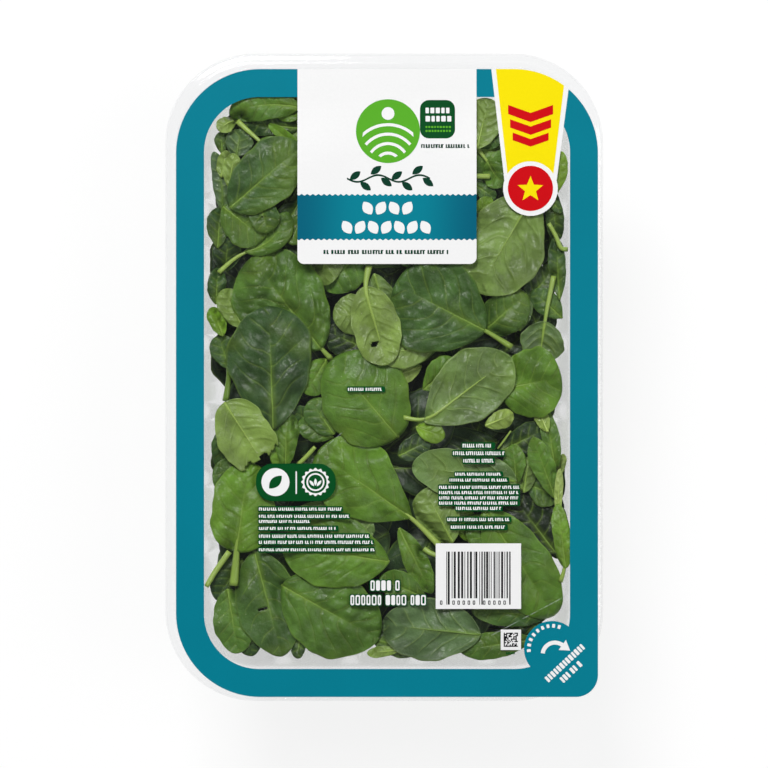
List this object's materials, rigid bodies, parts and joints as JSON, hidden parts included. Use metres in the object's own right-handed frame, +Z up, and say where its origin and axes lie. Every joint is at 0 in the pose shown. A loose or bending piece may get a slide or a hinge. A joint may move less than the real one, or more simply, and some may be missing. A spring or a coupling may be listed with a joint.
{
  "type": "sealed tray of baby spinach",
  "caption": "Clear fluted plastic tray heaped with loose baby spinach leaves, sealed by a clear printed peel-back film with a pull-tab corner.",
  "frame": {"origin": "middle of the footprint at the underside of the tray's foot", "axes": "+Z up out of the film, +Y towards the top of the print, +X to the right of the print"},
  "size_m": [0.203, 0.3, 0.106],
  "materials": {
    "tray": "clear thermoformed sheet, glossy",
    "leaves": "waxy leaf, semi-gloss, paler underneath",
    "lid_film": "clear glossy film with a printed border and panels"
  },
  "bodies": {
    "root": {"tray": "tray", "spinach": "leaves", "lid_film": "lid_film"}
  },
  "joints": []
}
